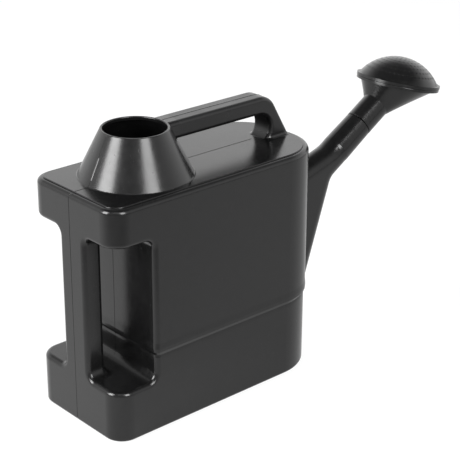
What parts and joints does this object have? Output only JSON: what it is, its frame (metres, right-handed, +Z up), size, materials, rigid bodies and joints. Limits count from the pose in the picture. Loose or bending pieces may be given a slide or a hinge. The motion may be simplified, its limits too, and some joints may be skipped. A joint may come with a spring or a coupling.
{
  "type": "watering can",
  "caption": "Large hollow-moulded watering can with a conical filler, a bar handle on top, an upright grip at the back and a turning, pull-off rose on an angled spout.",
  "frame": {"origin": "centre of the base on the surface that the can stands on", "axes": "+X from the rear grip towards the spout, +Z up, +Y across the can; the can is symmetric about y = 0"},
  "size_m": [0.5515, 0.1468, 0.322],
  "materials": {
    "can_plastic": "satin black polyethylene with fine moulding grain",
    "rose_plastic": "satin black injection-moulded plastic",
    "seal_rubber": "black rubber"
  },
  "bodies": {
    "can": {"tank_shell": "can_plastic", "filler_cone": "can_plastic", "top_handle": "can_plastic", "rear_grip": "can_plastic", "spout_tube": "can_plastic"},
    "seal": {"rose_seal_ring": "seal_rubber"},
    "rose": {"rose_neck": "rose_plastic", "rose_shell": "rose_plastic", "rose_face": "rose_plastic"}
  },
  "joints": [
    {"name": "rose_pull", "type": "slide", "parent": "can", "child": "seal", "axis": [0.849, 0, 0.5284], "range_m": [0, 0.045]},
    {"name": "rose_turn", "type": "hinge", "parent": "seal", "child": "rose", "pos_m": [0.2761, 0, 0.2477], "axis": [0.849, 0, 0.5284], "continuous": true}
  ]
}
